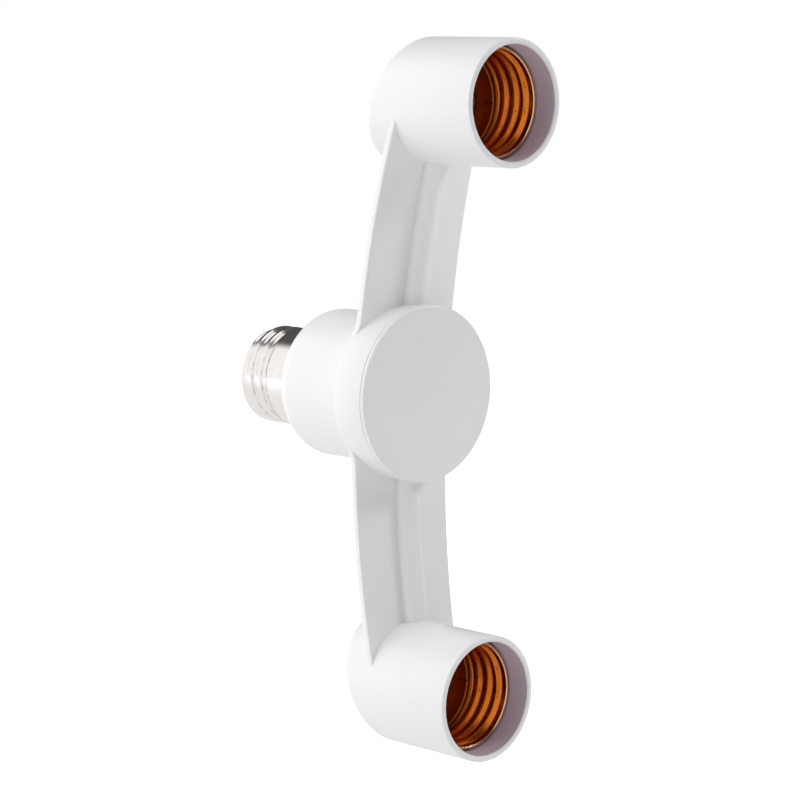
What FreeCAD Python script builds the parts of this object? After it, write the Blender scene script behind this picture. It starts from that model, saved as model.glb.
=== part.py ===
"""Lamp socket adapter that feeds two lamps from one lamp holder, in millimetres.

The origin is on the hub's axis, where the screw shell leaves the plastic. +Y runs along the
screw cap into the lamp holder, the lamps leave towards -Y, and the arms run along +Z and -Z.
"""
import FreeCAD
import Part

import math
import os

from FreeCAD import Vector

# Lamp thread, the same on the screw cap and in the two sockets
PITCH = 3.629
THREAD_DEPTH = 1.07
SHEET = 0.4
ROWS_PER_PITCH = 7
STEPS_PER_TURN = 24
FADE = 0.45 * PITCH
SHOULDER = 0.2

# Screw cap
CAP_MAJOR_R = 13.2
COLLAR_LENGTH = 9.6
SHELL_LENGTH = 21.3
LIP_BAND = 0.8
LIP_HOLE_R = 10.4
CAP_LENGTH = 27.0
INSULATOR_TIP_R = 6.8
INSULATOR_FLANGE = 1.5
TIP_R = 4.8
TIP_HEIGHT = 1.5
TIP_SHANK_R = 2.2
TIP_FLANGE_R = 3.4
TIP_FLANGE = 0.8

# Hub
BARREL_R_REAR = 19.5
BARREL_DRAFT = 0.3
BARREL_R_FRONT = BARREL_R_REAR + BARREL_DRAFT
BARREL_LENGTH = 27.6
DRUM_STEP = 3.1
DRUM_R = BARREL_R_FRONT + DRUM_STEP
DRUM_DEPTH = 10.05
WALL = 2.0
DISC_OVERHANG = 0.2
DISC_R = DRUM_R + DISC_OVERHANG
DISC_THICKNESS = 1.3
DISC_EDGE_ROUND = 0.6
SEAM_GAP = 0.15
SKIRT_DEPTH = 3.4
SKIRT_THICKNESS = 1.3
BEAD = 0.25
SPIGOT_LENGTH = 9.0
SPIGOT_WALL = 1.5

# Bow-shaped back plate with its wire ducts
BOW_DROP = 6.33
PLATE_THICKNESS = 1.9
PLATE_CROWN = 1.95
PLATE_SETBACK = 0.3
PLATE_HALF_WIDTH = 16.7
PLATE_END_HALF_WIDTH = 15.3
PLATE_FLARE_R = 8.0
RIB_R = 3.5
CHANNEL_HALF_WIDTH = 2.2
CHANNEL_DEPTH = 3.5
COVER_HALF_WIDTH = 3.4
COVER_THICKNESS = 0.8

# Socket cups
SOCKET_Z = 75.5
SOCKET_R = 16.3
SOCKET_WALL = 1.6
RIM_FORWARD = 26.2
SOCKET_LENGTH = 35.85
BACK_SLOPE = 0.333
BACK_WALL = 1.9
BACK_ROUND = 1.2
RIM_ROUND = 0.45
LEDGE = 1.5
SHELL_RECESS = 6.4

# Socket shell, base and contact
LAMP_MINOR_R = 12.25
FLOOR_BAND_R = 12.45
FLOOR_BAND_LENGTH = 3.0
MOUTH_R = 13.45
MOUTH_LENGTH = 2.0
LIP_FLARE = 0.7
LIP_LENGTH = 0.5
SHELL_DEPTH = 17.2
FLOOR_HOLE_R = 9.6
BASE_THICKNESS = 2.4
LEAF_WIDTH = 5.0
LEAF_THICKNESS = 0.4
LEAF_RISE = 3.0
LEAF_FOOT = 4.2
LEAF_RAMP = 2.6
LEAF_TIP = 4.6
BUTTON_R = 2.2
BUTTON_HEIGHT = 1.1
BUTTON_SHANK_R = 1.1
BUTTON_TAIL = 0.5

# Fasteners
SCREW_OFFSET = 6.5
SCREW_SHANK_R = 1.2
SCREW_HEAD_R = 2.3
SCREW_HEAD = 1.5
SCREW_LENGTH = 7.5
BOSS_R = 2.5
RIVET_R = 0.8
RIVET_HEAD_R = 1.25
RIVET_HEAD = 0.7
RIVET_CIRCLE_R = 10.95
LEAF_RIVET_R = 1.0
LEAF_RIVET_HEAD_R = 1.9

# Wiring
WIRE_R = 1.0
WIRE_SPACING = 2.1
SPLICE_R = 2.9
SPLICE_LENGTH = 11.0
SPLICE_X = 7.5
SPLICE_REACH = 3.5

# Clearances
FIT = 0.15
SLIDE_FIT = 0.05

# Places along the hub's axis
DRUM_REAR_Y = -BARREL_LENGTH
SEAM_Y = DRUM_REAR_Y - DRUM_DEPTH
DISC_FACE_Y = SEAM_Y - DISC_THICKNESS - SEAM_GAP
RIM_Y = DISC_FACE_Y - RIM_FORWARD
BOW_SPAN = SOCKET_Z - SOCKET_R
BOW_R = (BOW_SPAN**2 + BOW_DROP**2) / (2 * BOW_DROP)
BOW_CENTRE_Y = DRUM_REAR_Y + PLATE_SETBACK - PLATE_CROWN - BOW_R - PLATE_THICKNESS / 2
PLATE_REAR_R = BOW_R + PLATE_THICKNESS / 2
PLATE_FRONT_R = BOW_R - PLATE_THICKNESS / 2
SHELL_MOUTH_Y = RIM_Y + SHELL_RECESS
BASE_FRONT_Y = SHELL_MOUTH_Y + SHELL_DEPTH
BASE_REAR_Y = BASE_FRONT_Y + BASE_THICKNESS
BORE_R = SOCKET_R - SOCKET_WALL
CHAMBER_R = BORE_R - LEDGE
WIRE_BOW_R = PLATE_REAR_R - COVER_THICKNESS - FIT - WIRE_R
WIRE_END_Y = BASE_REAR_Y + RIVET_HEAD + WIRE_R

SIDES = {"top": 1, "bottom": -1}


def cylinder(radius, y0, y1, x=0.0, z=0.0):
    """A cylinder along Y from y0 to y1."""
    return Part.makeCylinder(radius, y1 - y0, Vector(x, y0, z), Vector(0, 1, 0))


def box(x0, x1, y0, y1, z0, z1):
    return Part.makeBox(x1 - x0, y1 - y0, z1 - z0, Vector(x0, y0, z0))


def turned(points, x=0.0, z=0.0):
    """A solid turned about an axis along Y, from (radius, y) points.

    A point of four values is an arc: the arc's middle, then its end.
    """
    edges = []
    last = points[0]
    for point in list(points[1:]) + [points[0][:2]]:
        start, end = Vector(last[0], last[1], 0), Vector(point[-2], point[-1], 0)
        if start.distanceToPoint(end) > 1e-7:
            if len(point) == 4:
                edges.append(Part.Arc(start, Vector(point[0], point[1], 0), end).toShape())
            else:
                edges.append(Part.LineSegment(start, end).toShape())
        last = point[-2:]
    solid = Part.Face(Part.Wire(edges)).revolve(Vector(), Vector(0, 1, 0), 360)
    solid.translate(Vector(x, 0, z))
    return solid


def quarter(centre_r, centre_y, radius, start_deg, end_deg):
    """The middle and end of an arc, as turned() takes them, by angles from the radial direction."""
    middle, end = math.radians((start_deg + end_deg) / 2), math.radians(end_deg)
    return (
        centre_r + radius * math.cos(middle),
        centre_y + radius * math.sin(middle),
        centre_r + radius * math.cos(end),
        centre_y + radius * math.sin(end),
    )


def smooth(value):
    """0 below 0, 1 above 1, and a smooth step between."""
    t = min(max(value, 0.0), 1.0)
    return t * t * (3 - 2 * t)


def thread_face(minor_r, start, end, start_level, end_level, outward):
    """A rolled round thread about Z, fading to plain circles at both ends.

    A level of 0 is the minor radius and 1 the major radius. outward moves the face out. The poles
    stand out a little further than the thread, so that the smooth face between them has its radii.
    """
    rows = int(round((end - start) / PITCH * ROWS_PER_PITCH))
    plain = (end - start) / rows
    across = (2 + math.cos(2 * math.pi / STEPS_PER_TURN)) / 3
    along = (2 + math.cos(2 * math.pi / ROWS_PER_PITCH)) / 3
    poles = []
    for step in range(STEPS_PER_TURN):
        angle = 2 * math.pi * step / STEPS_PER_TURN
        line = []
        for row in range(-1, rows + 2):
            height = start + (end - start) * row / rows
            rise = smooth((height - start - plain) / FADE)
            fall = smooth((end - height - plain) / FADE)
            swing = (rise + fall - 1) / 2
            level = start_level * (1 - rise) + end_level * (1 - fall) + swing
            level += swing * math.cos(2 * math.pi * height / PITCH - angle) / along
            radius = (minor_r + outward + THREAD_DEPTH * level) / across
            line.append(Vector(radius * math.cos(angle), radius * math.sin(angle), height))
        poles.append(line)
    surface = Part.BSplineSurface()
    around, up = list(range(STEPS_PER_TURN + 1)), list(range(rows + 7))
    surface.buildFromPolesMultsKnots(poles, [1] * len(around), [1] * len(up), around, up, True, False, 3, 3)
    first = surface.value(0, 3)
    face = surface.toShape(0, STEPS_PER_TURN, 3, rows + 3)
    face.rotate(Vector(), Vector(0, 0, 1), -math.degrees(math.atan2(first.y, first.x)))
    return face


def threaded_tube(minor_r, start, end, start_level, end_level, outward):
    """The thread with a short shoulder at each end that leads to a true circle."""
    thread = thread_face(minor_r, start + SHOULDER, end - SHOULDER, start_level, end_level, outward)
    circles = [e for e in thread.Edges if e.BoundBox.ZLength < 0.01]
    faces = [thread]
    for height, level in ((start, start_level), (end, end_level)):
        nearest = min(circles, key=lambda e: abs(e.BoundBox.ZMin - height))
        circle = Part.makeCircle(minor_r + outward + THREAD_DEPTH * level, Vector(0, 0, height))
        faces.append(Part.makeRuledSurface(circle, nearest))
    return faces


def ring_faces(points):
    """Turned faces about Z through (radius, z) points."""
    faces = []
    for (r0, z0), (r1, z1) in zip(points, points[1:]):
        edge = Part.LineSegment(Vector(r0, 0, z0), Vector(r1, 0, z1)).toShape()
        faces.append(edge.revolve(Vector(), Vector(0, 0, 1), 360))
    return faces


def sewn(faces):
    shell = Part.makeCompound(faces)
    shell.sewShape(0.01)
    solid = Part.Solid(shell.Shells[0])
    if solid.Volume < 0:
        solid.reverse()
    return solid


def screw_shell():
    """The screw cap's rolled shell: a plain collar, the thread and a lip turned in at the end."""
    minor = CAP_MAJOR_R - THREAD_DEPTH
    a, b = COLLAR_LENGTH, SHELL_LENGTH - LIP_BAND
    outer = [(minor, b), (minor, SHELL_LENGTH - SHEET), (minor - SHEET, SHELL_LENGTH)]
    inner = [(LIP_HOLE_R, SHELL_LENGTH), (LIP_HOLE_R, SHELL_LENGTH - SHEET)]
    inner += [(minor - SHEET, SHELL_LENGTH - SHEET), (minor - SHEET, b)]
    collar_r = CAP_MAJOR_R - SHEET
    faces = ring_faces([(collar_r, a), (collar_r, 0), (CAP_MAJOR_R, 0), (CAP_MAJOR_R, a)])
    faces += threaded_tube(minor, a, b, 1, 0, 0)
    faces += ring_faces(outer + inner)
    faces += threaded_tube(minor, a, b, 1, 0, -SHEET)
    shell = sewn(faces)
    shell.rotate(Vector(), Vector(1, 0, 0), -90)
    return shell


def socket_shell(side):
    """A socket's rolled shell: a floor with a hole, a plain band, the thread and a flared mouth."""
    a, b = SHEET + FLOOR_BAND_LENGTH, SHELL_DEPTH - LIP_LENGTH - MOUTH_LENGTH
    floor_level = (FLOOR_BAND_R - LAMP_MINOR_R) / THREAD_DEPTH
    mouth_level = (MOUTH_R - LAMP_MINOR_R) / THREAD_DEPTH
    mouth = [(MOUTH_R, b), (MOUTH_R, b + MOUTH_LENGTH), (MOUTH_R + LIP_FLARE, SHELL_DEPTH)]
    outside = [(r + SHEET, z) for r, z in reversed(mouth)]
    floor = [(FLOOR_BAND_R + SHEET, a), (FLOOR_BAND_R + SHEET, 0), (FLOOR_HOLE_R, 0)]
    floor += [(FLOOR_HOLE_R, SHEET), (FLOOR_BAND_R, SHEET), (FLOOR_BAND_R, a)]
    faces = ring_faces(floor) + ring_faces(mouth + outside)
    faces += threaded_tube(LAMP_MINOR_R, a, b, floor_level, mouth_level, 0)
    faces += threaded_tube(LAMP_MINOR_R, a, b, floor_level, mouth_level, SHEET)
    shell = sewn(faces)
    shell.rotate(Vector(), Vector(1, 0, 0), 90)
    shell.translate(Vector(0, BASE_FRONT_Y, side * SOCKET_Z))
    hole_r, y0, y1 = RIVET_R + SLIDE_FIT, BASE_FRONT_Y - 2, BASE_FRONT_Y + 1
    return shell.cut([cylinder(hole_r, y0, y1, x, z) for x, z in shell_rivet_places(side)])


def shell_rivet_places(side):
    reach = RIVET_CIRCLE_R * math.sqrt(0.5)
    return [(reach, side * (SOCKET_Z - reach)), (-reach, side * (SOCKET_Z + reach))]


def screw_places(side):
    return [(SCREW_OFFSET, side * SOCKET_Z), (-SCREW_OFFSET, side * SOCKET_Z)]


def leaf_rivet_place(side):
    return 0.0, side * (SOCKET_Z - LEAF_TIP / 2 - LEAF_RAMP - LEAF_FOOT / 2)


def bow_band(half_width, inner_r, outer_r, z0, z1):
    """A stretch of the bow between two radii, for z from z0 to z1."""
    band = Part.makeCylinder(outer_r, 2 * half_width, Vector(-half_width, BOW_CENTRE_Y, 0), Vector(1, 0, 0))
    core = Part.makeCylinder(inner_r, 2 * half_width, Vector(-half_width, BOW_CENTRE_Y, 0), Vector(1, 0, 0))
    keep = box(-half_width, half_width, BOW_CENTRE_Y, BOW_CENTRE_Y + outer_r + 1, z0, z1)
    return band.common(keep).cut(core)


def bow_rod(major_r, minor_r, z0, z1):
    """A round rod along the bow, for z from z0 to z1."""
    ring = Part.makeTorus(major_r, minor_r, Vector(0, BOW_CENTRE_Y, 0), Vector(1, 0, 0))
    reach = 2 * minor_r
    return ring.common(box(-reach, reach, BOW_CENTRE_Y, BOW_CENTRE_Y + major_r + reach, z0, z1))


def plate_plan():
    """The plate's outline seen from the front: tapered to the cups and flared into the drum."""
    y0, y1 = BOW_CENTRE_Y, DRUM_REAR_Y
    corners = [(PLATE_HALF_WIDTH, 0), (PLATE_END_HALF_WIDTH, SOCKET_Z), (-PLATE_END_HALF_WIDTH, SOCKET_Z)]
    corners += [(-x, -z) for x, z in corners]
    points = [Vector(x, y0, z) for x, z in corners]
    arms = Part.Face(Part.makePolygon(points + points[:1])).extrude(Vector(0, y1 - y0, 0))
    plan = arms.fuse(cylinder(DRUM_R, y0, y1))
    inner = []
    for edge in plan.Edges:
        middle = edge.BoundBox.Center
        upright = edge.BoundBox.XLength < 0.01 and edge.BoundBox.ZLength < 0.01
        on_drum = abs(math.hypot(middle.x, middle.z) - DRUM_R) < 0.01
        if upright and on_drum and abs(middle.z) > 1:
            inner.append(edge)
    return plan.makeFillet(PLATE_FLARE_R, inner)


def plate():
    """The back plate: bowed along its length and crowned across it, flush with the drum's rear."""
    crown_r = (PLATE_HALF_WIDTH**2 + PLATE_CROWN**2) / (2 * PLATE_CROWN)
    edge_drop = crown_r - math.sqrt(crown_r**2 - DRUM_R**2)
    faces = []
    for radius in (PLATE_FRONT_R, PLATE_REAR_R):
        apex = BOW_CENTRE_Y + radius
        ends = [Vector(x, apex + edge_drop, 0) for x in (-DRUM_R, DRUM_R)]
        faces.append(Part.Arc(ends[0], Vector(0, apex, 0), ends[1]).toShape())
        faces.append(ends)
    front, front_ends, rear, rear_ends = faces
    sides = [Part.LineSegment(a, b).toShape() for a, b in zip(front_ends, rear_ends)]
    section = Part.Face(Part.Wire([front, sides[1], rear, sides[0]]))
    half_turn = math.degrees(math.asin(SOCKET_Z / PLATE_FRONT_R))
    axis = Vector(0, BOW_CENTRE_Y, 0)
    section.rotate(axis, Vector(1, 0, 0), -half_turn)
    return section.revolve(axis, Vector(1, 0, 0), 2 * half_turn).common(plate_plan())


def spans(side, near, far):
    """z from near to far on one side of the hub, in rising order."""
    return sorted((side * near, side * far))


def behind_slope(side, y_on_axis, margin):
    """Everything in front of a socket's slanted back, which passes y_on_axis on the socket's axis."""
    centre = side * SOCKET_Z
    corners = []
    for dz in (-margin, margin):
        corners.append(Vector(-margin, y_on_axis - side * BACK_SLOPE * dz, centre + dz))
    front_y = RIM_Y - margin
    points = [Vector(-margin, front_y, centre - margin), *corners, Vector(-margin, front_y, centre + margin)]
    face = Part.Face(Part.makePolygon(points + points[:1]))
    return face.extrude(Vector(2 * margin, 0, 0))


def cup(side):
    """A socket cup's outside, with its rounded rim and slanted back."""
    back = RIM_Y + SOCKET_LENGTH
    body = cylinder(SOCKET_R, RIM_Y, back + SOCKET_R, 0, side * SOCKET_Z)
    body = body.common(behind_slope(side, back, 2 * SOCKET_R))
    rim = [e for e in body.Edges if e.BoundBox.YMax < RIM_Y + 0.01]
    slanted = [e for e in body.Edges if e.BoundBox.YMin > RIM_Y + 1 and e.BoundBox.XLength > SOCKET_R]
    return body.makeFillet(BACK_ROUND, slanted).makeFillet(RIM_ROUND, rim)


def cup_hollow(side):
    """The socket's bore, the ledge that the base sits on and the wire chamber behind it."""
    z = side * SOCKET_Z
    back = RIM_Y + SOCKET_LENGTH
    bore = cylinder(BORE_R, RIM_Y - 1, BASE_REAR_Y, 0, z)
    chamber = cylinder(CHAMBER_R, BASE_REAR_Y - 1, back + SOCKET_R, 0, z)
    wall = BACK_WALL * math.hypot(1, BACK_SLOPE)
    return bore.fuse(chamber.common(behind_slope(side, back - wall, 2 * SOCKET_R)))


def hub_outside():
    end_round = BARREL_R_REAR - CAP_MAJOR_R
    points = [(0, SEAM_Y), (DRUM_R, SEAM_Y), (DRUM_R, DRUM_REAR_Y - 0.6)]
    points += [(DRUM_R - 0.6, DRUM_REAR_Y), (BARREL_R_FRONT, DRUM_REAR_Y), (BARREL_R_REAR, -end_round)]
    points += [quarter(CAP_MAJOR_R, -end_round, end_round, 0, 90), (0, 0)]
    spigot = cylinder(CAP_MAJOR_R - SHEET - SLIDE_FIT, -1, SPIGOT_LENGTH)
    return turned(points).fuse(spigot)


def hub_hollow():
    end_round = BARREL_R_REAR - CAP_MAJOR_R - WALL
    centre_y = -end_round - WALL
    spigot_r = CAP_MAJOR_R - SHEET - SLIDE_FIT - SPIGOT_WALL
    inner_r = BARREL_R_REAR - WALL
    points = [(0, SEAM_Y - 1), (DRUM_R - WALL, SEAM_Y - 1), (DRUM_R - WALL, DRUM_REAR_Y - WALL)]
    points += [(inner_r, DRUM_REAR_Y - WALL), (inner_r, centre_y)]
    points += [quarter(inner_r - end_round, centre_y, end_round, 0, 90), (spigot_r, -WALL)]
    points += [(spigot_r, SPIGOT_LENGTH + 1), (0, SPIGOT_LENGTH + 1)]
    groove_y = SEAM_Y + SKIRT_DEPTH / 2 + SEAM_GAP
    groove_r = DRUM_R - WALL
    y0, y1 = groove_y - 2 * BEAD, groove_y + 2 * BEAD
    groove = [(groove_r - 1, y0), (groove_r, y0), (groove_r + BEAD, groove_y)]
    groove += [(groove_r, y1), (groove_r - 1, y1)]
    return turned(points).fuse(turned(groove))


def housing():
    """One moulding: hub, bow-shaped plate with its ducts, and the two socket cups."""
    rib = bow_rod(PLATE_FRONT_R, RIB_R, -SOCKET_Z, SOCKET_Z)
    overlap_r = (PLATE_FRONT_R + PLATE_REAR_R) / 2
    rib = rib.common(Part.makeCylinder(overlap_r, 20, Vector(-10, BOW_CENTRE_Y, 0), Vector(1, 0, 0)))
    body = hub_outside().fuse([plate(), rib] + [cup(side) for side in SIDES.values()])
    body = body.cut([hub_hollow()] + [cup_hollow(side) for side in SIDES.values()])
    body = body.cut([channel(side) for side in SIDES.values()])
    for side in SIDES.values():
        back = RIM_Y + SOCKET_LENGTH
        for x, z in screw_places(side):
            boss = cylinder(BOSS_R, BASE_REAR_Y, back + SOCKET_R, x, z)
            body = body.fuse(boss.common(behind_slope(side, back - BACK_WALL / 2, 2 * SOCKET_R)))
            hole_end = BASE_FRONT_Y + SCREW_LENGTH + 0.5
            body = body.cut(cylinder(SCREW_SHANK_R + SLIDE_FIT, BASE_REAR_Y - 1, hole_end, x, z))
    return body


def channel(side):
    """The wire channel of one arm, open to the rear of the plate, with the rebate for its cover."""
    near, far = drum_exit(), cup_entry()
    chamber_side = SOCKET_Z - CHAMBER_R + 1
    through = spans(side, BARREL_R_REAR - WALL - 1, chamber_side)
    round_r = PLATE_REAR_R - COVER_THICKNESS - FIT - CHANNEL_DEPTH + CHANNEL_HALF_WIDTH
    cover_seat = PLATE_REAR_R - COVER_THICKNESS - FIT / 2
    cut = bow_rod(round_r, CHANNEL_HALF_WIDTH, *through)
    cut = cut.fuse(bow_band(CHANNEL_HALF_WIDTH, round_r, cover_seat, *through))
    rebate = bow_band(COVER_HALF_WIDTH + FIT, cover_seat, PLATE_REAR_R + 1, *spans(side, near, far))
    z0, z1 = spans(side, far, chamber_side)
    entry_y = WIRE_END_Y + WIRE_R + 2 * FIT
    entry = box(-CHANNEL_HALF_WIDTH, CHANNEL_HALF_WIDTH, WIRE_END_Y, entry_y, z0, z1)
    return cut.fuse([rebate, entry])


def drum_exit():
    """Where the duct's cover starts, just outside the drum."""
    return DRUM_R + FIT


def cup_entry():
    """Where the duct's cover ends, just short of the cup."""
    return SOCKET_Z - SOCKET_R - FIT


def duct_cover(side):
    seat = PLATE_REAR_R - COVER_THICKNESS
    return bow_band(COVER_HALF_WIDTH, seat, PLATE_REAR_R, *spans(side, drum_exit() + FIT, cup_entry() - FIT))


def hub_cap():
    """The front disc, with a skirt that snaps into the drum."""
    back = SEAM_Y - SEAM_GAP
    outer = DRUM_R - WALL - FIT
    bead_y = SEAM_Y + SKIRT_DEPTH / 2 + SEAM_GAP
    points = [(0, DISC_FACE_Y), (DISC_R - DISC_EDGE_ROUND, DISC_FACE_Y)]
    points += [quarter(DISC_R - DISC_EDGE_ROUND, DISC_FACE_Y + DISC_EDGE_ROUND, DISC_EDGE_ROUND, -90, 0)]
    points += [(DISC_R, back), (outer, back), (outer, bead_y - 2 * BEAD), (outer + BEAD, bead_y)]
    inner, skirt_y = outer - SKIRT_THICKNESS, SEAM_Y + SKIRT_DEPTH
    points += [(outer, bead_y + 2 * BEAD), (outer, skirt_y), (inner, skirt_y)]
    points += [(inner, DISC_FACE_Y + WALL), (0, DISC_FACE_Y + WALL)]
    return turned(points)


def base_insulator():
    """The black plug that closes the screw shell behind its lip."""
    inside = SHELL_LENGTH - SHEET
    flange_r = CAP_MAJOR_R - THREAD_DEPTH - SHEET - FIT
    bore = TIP_SHANK_R + SLIDE_FIT
    tip_y = CAP_LENGTH - TIP_HEIGHT
    flange_y = inside - INSULATOR_FLANGE
    points = [(bore, flange_y), (flange_r, flange_y), (flange_r, inside - SLIDE_FIT)]
    points += [(LIP_HOLE_R - FIT, inside - SLIDE_FIT), (LIP_HOLE_R - FIT, SHELL_LENGTH + 0.3)]
    points += [(INSULATOR_TIP_R, tip_y), (bore, tip_y)]
    return turned(points)


def tip_contact():
    """The cap's centre contact: a domed head and a hollow shank, peened over inside."""
    head_y = CAP_LENGTH - TIP_HEIGHT
    inside = SHELL_LENGTH - SHEET - INSULATOR_FLANGE
    bore = WIRE_R + SLIDE_FIT
    flange_y = inside - TIP_FLANGE
    points = [(0, head_y - 1), (bore, head_y - 1), (bore, flange_y), (TIP_FLANGE_R, flange_y)]
    points += [(TIP_FLANGE_R, inside), (TIP_SHANK_R, inside), (TIP_SHANK_R, head_y), (TIP_R, head_y)]
    points += [(TIP_R, head_y + 0.5), (TIP_R - 0.8, CAP_LENGTH - 0.4)]
    points += [(TIP_R - 2.2, CAP_LENGTH), (0, CAP_LENGTH)]
    return turned(points)


def socket_base(side):
    disc = cylinder(BORE_R - FIT, BASE_FRONT_Y, BASE_REAR_Y, 0, side * SOCKET_Z)
    places = [(SCREW_SHANK_R, x, z) for x, z in screw_places(side)]
    places += [(RIVET_R, x, z) for x, z in shell_rivet_places(side)]
    places += [(LEAF_RIVET_R, *leaf_rivet_place(side))]
    return disc.cut([cylinder(r + SLIDE_FIT, BASE_FRONT_Y - 1, BASE_REAR_Y + 1, x, z) for r, x, z in places])


def base_screws(side):
    """Two pan-head screws through the base into the housing's bosses."""
    screws = []
    for x, z in screw_places(side):
        head_y = BASE_FRONT_Y - SCREW_HEAD
        points = [(0, head_y), (SCREW_HEAD_R - 0.8, head_y), (SCREW_HEAD_R, head_y + 0.8)]
        points += [(SCREW_HEAD_R, BASE_FRONT_Y), (SCREW_SHANK_R, BASE_FRONT_Y)]
        points += [(SCREW_SHANK_R, BASE_FRONT_Y + SCREW_LENGTH - 1)]
        points += [(0.3, BASE_FRONT_Y + SCREW_LENGTH), (0, BASE_FRONT_Y + SCREW_LENGTH)]
        slots = [box(x - 1.3, x + 1.3, head_y - 1, head_y + 0.7, z - 0.25, z + 0.25)]
        slots.append(box(x - 0.25, x + 0.25, head_y - 1, head_y + 0.7, z - 1.3, z + 1.3))
        screws.append(turned(points, x, z).cut(slots))
    return Part.makeCompound(screws)


def rivet(shank_r, head_r, front_y, rear_y, x, z):
    """A rivet with a domed head in front and a flat tail behind."""
    points = [(0, front_y - RIVET_HEAD), (head_r * 0.6, front_y - RIVET_HEAD * 0.85, head_r, front_y)]
    points += [(shank_r, front_y), (shank_r, rear_y), (head_r * 0.9, rear_y)]
    points += [(head_r * 0.9, rear_y + RIVET_HEAD), (0, rear_y + RIVET_HEAD)]
    return turned(points, x, z)


def shell_rivets(side):
    front = BASE_FRONT_Y - SHEET
    places = shell_rivet_places(side)
    return Part.makeCompound([rivet(RIVET_R, RIVET_HEAD_R, front, BASE_REAR_Y, x, z) for x, z in places])


def contact_rivet(side):
    front = BASE_FRONT_Y - LEAF_THICKNESS
    return rivet(LEAF_RIVET_R, LEAF_RIVET_HEAD_R, front, BASE_REAR_Y, *leaf_rivet_place(side))


def contact_leaf(side):
    """A bent strip: a foot on the base, a ramp and a flat tip over the socket's axis."""
    foot = -LEAF_TIP / 2 - LEAF_RAMP - LEAF_FOOT
    line = [(foot, 0), (foot + LEAF_FOOT, 0), (-LEAF_TIP / 2, LEAF_RISE), (LEAF_TIP / 2, LEAF_RISE)]
    far = [(u + (0.0 if i in (0, 3) else -0.22), h + LEAF_THICKNESS) for i, (u, h) in enumerate(line)]
    points = [Vector(-LEAF_WIDTH / 2, BASE_FRONT_Y - h, side * (SOCKET_Z + u)) for u, h in line + far[::-1]]
    leaf = Part.Face(Part.makePolygon(points + points[:1])).extrude(Vector(LEAF_WIDTH, 0, 0))
    bends = [e for e in leaf.Edges if e.BoundBox.XLength > LEAF_WIDTH - 0.1 and e.BoundBox.ZLength < 0.01]
    inner = [e for e in bends if abs(abs(e.BoundBox.Center.z) - SOCKET_Z - foot - LEAF_FOOT) < 0.5]
    inner += [e for e in bends if abs(abs(e.BoundBox.Center.z) - SOCKET_Z + LEAF_TIP / 2) < 0.5]
    leaf = leaf.makeFillet(0.5, inner)
    corners = [e for e in leaf.Edges if e.BoundBox.XLength < 0.01 and e.BoundBox.ZLength < 0.01]
    leaf = leaf.makeFillet(LEAF_WIDTH * 0.4, [e for e in corners if abs(e.BoundBox.Center.z) > SOCKET_Z])
    x, z = leaf_rivet_place(side)
    holes = [cylinder(LEAF_RIVET_R + SLIDE_FIT, BASE_FRONT_Y - 2, BASE_FRONT_Y + 1, x, z)]
    holes.append(cylinder(BUTTON_SHANK_R + SLIDE_FIT, BASE_FRONT_Y - 9, BASE_FRONT_Y - 1, 0, side * SOCKET_Z))
    return leaf.cut(holes)


def contact_button(side):
    """The silvered button on the leaf's tip: a domed head, a shank through the leaf and a tail."""
    seat = BASE_FRONT_Y - LEAF_RISE - LEAF_THICKNESS - SLIDE_FIT
    tail = BASE_FRONT_Y - LEAF_RISE + SLIDE_FIT
    points = [(0, seat - BUTTON_HEIGHT), (BUTTON_R * 0.6, seat - BUTTON_HEIGHT * 0.82, BUTTON_R, seat - 0.3)]
    points += [(BUTTON_R, seat), (BUTTON_SHANK_R, seat), (BUTTON_SHANK_R, tail), (BUTTON_R * 0.75, tail)]
    points += [(BUTTON_R * 0.75, tail + BUTTON_TAIL), (0, tail + BUTTON_TAIL)]
    return turned(points, 0, side * SOCKET_Z)


def wire(points, bend_r):
    """A round wire along straight runs joined by tangent arcs."""
    points = [Vector(*p) for p in points]
    edges = []
    start = points[0]
    for before, corner, after in zip(points, points[1:], points[2:]):
        u, v = (before - corner).normalize(), (after - corner).normalize()
        half = u.getAngle(v) / 2
        run = min(before.distanceToPoint(corner), corner.distanceToPoint(after)) * 0.45
        setback = min(bend_r / math.tan(half), run)
        radius = setback * math.tan(half)
        a, b = corner + u * setback, corner + v * setback
        centre = corner + (u + v).normalize() * (radius / math.sin(half))
        middle = centre + (corner - centre).normalize() * radius
        edges += [Part.LineSegment(start, a).toShape(), Part.Arc(a, middle, b).toShape()]
        start = b
    edges.append(Part.LineSegment(start, points[-1]).toShape())
    path = Part.Wire(edges)
    section = Part.Wire(Part.makeCircle(WIRE_R, points[0], points[1] - points[0]))
    return path.makePipeShell([section], True, False)


def bow_point(x, z, radius=WIRE_BOW_R):
    return (x, BOW_CENTRE_Y + math.sqrt(radius**2 - z**2), z)


def arm_wire(side, x_side, end):
    """A wire from a splice in the hub along the duct to its rivet behind the socket's base."""
    x = x_side * WIRE_SPACING / 2
    splice = (x_side * SPLICE_X, side * WIRE_SPACING / 2)
    front_y = DRUM_REAR_Y - WALL - WIRE_R
    splice_y = DRUM_REAR_Y + SPLICE_REACH
    inside = DRUM_R - WALL
    points = [(splice[0], splice_y + SPLICE_REACH, splice[1]), (splice[0], front_y - 2.2, splice[1])]
    points += [bow_point(x, side * (inside - 3.5), WIRE_BOW_R - 0.5), bow_point(x, side * (inside + 6))]
    middle = (inside + SOCKET_Z - SOCKET_R) / 2
    points += [bow_point(x, side * middle), bow_point(x, side * (SOCKET_Z - SOCKET_R - 4), WIRE_BOW_R - 0.7)]
    enter = SOCKET_Z - CHAMBER_R
    points += [(x, WIRE_END_Y, side * (enter + 1.7)), (end[0], WIRE_END_Y, end[1])]
    return wire(points, 4.0)


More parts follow.
